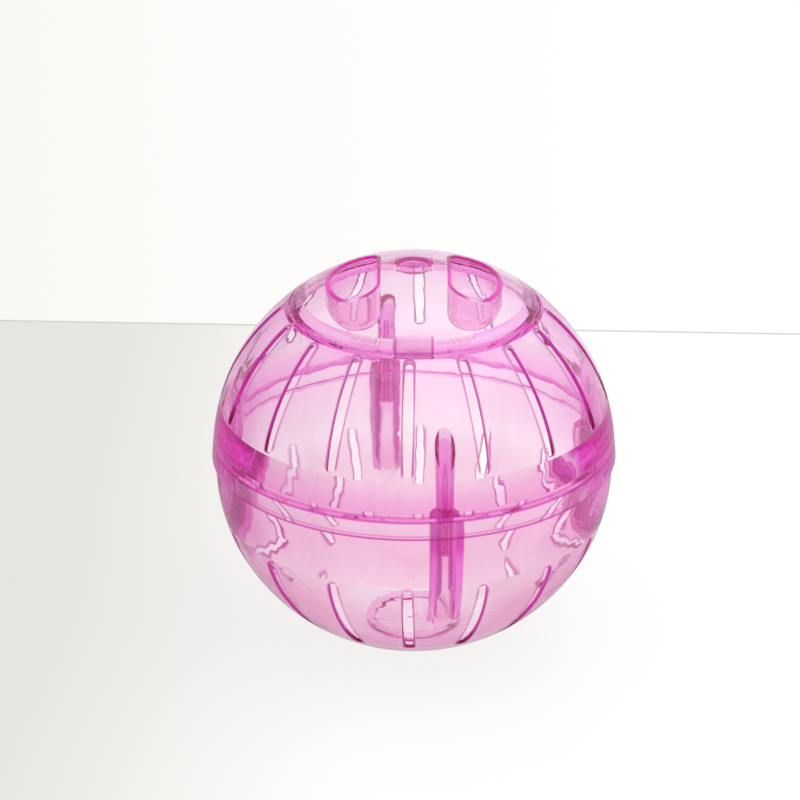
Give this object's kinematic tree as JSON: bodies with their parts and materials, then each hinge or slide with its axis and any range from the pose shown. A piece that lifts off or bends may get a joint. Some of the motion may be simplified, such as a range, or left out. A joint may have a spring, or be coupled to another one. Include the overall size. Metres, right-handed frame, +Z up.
{
  "type": "hamster ball",
  "caption": "Translucent plastic exercise ball for a small pet: two slotted half shells joined by pins in sockets, with a round snap-in door that has finger wells and a flat foot to stand on.",
  "frame": {"origin": "centre of the flat foot, on the surface that the ball stands on", "axes": "+Z up through the middle of the door, Y along the door's bridge with -Y towards the viewer of the picture, finger wells at +X and -X"},
  "size_m": [0.1204, 0.1204, 0.1179],
  "materials": {
    "pink_clear_plastic": "clear pink moulded polystyrene, polished outside"
  },
  "bodies": {
    "lower_half": {"lower_half": "pink_clear_plastic"},
    "upper_half": {"upper_half": "pink_clear_plastic"},
    "door": {"door": "pink_clear_plastic"}
  },
  "joints": [
    {"name": "upper_half_lift", "type": "slide", "parent": "lower_half", "child": "upper_half", "axis": [0, 0, 1], "range_m": [0, 0.04]},
    {"name": "door_lift", "type": "slide", "parent": "upper_half", "child": "door", "axis": [0, 0, 1], "range_m": [0, 0.03]}
  ]
}
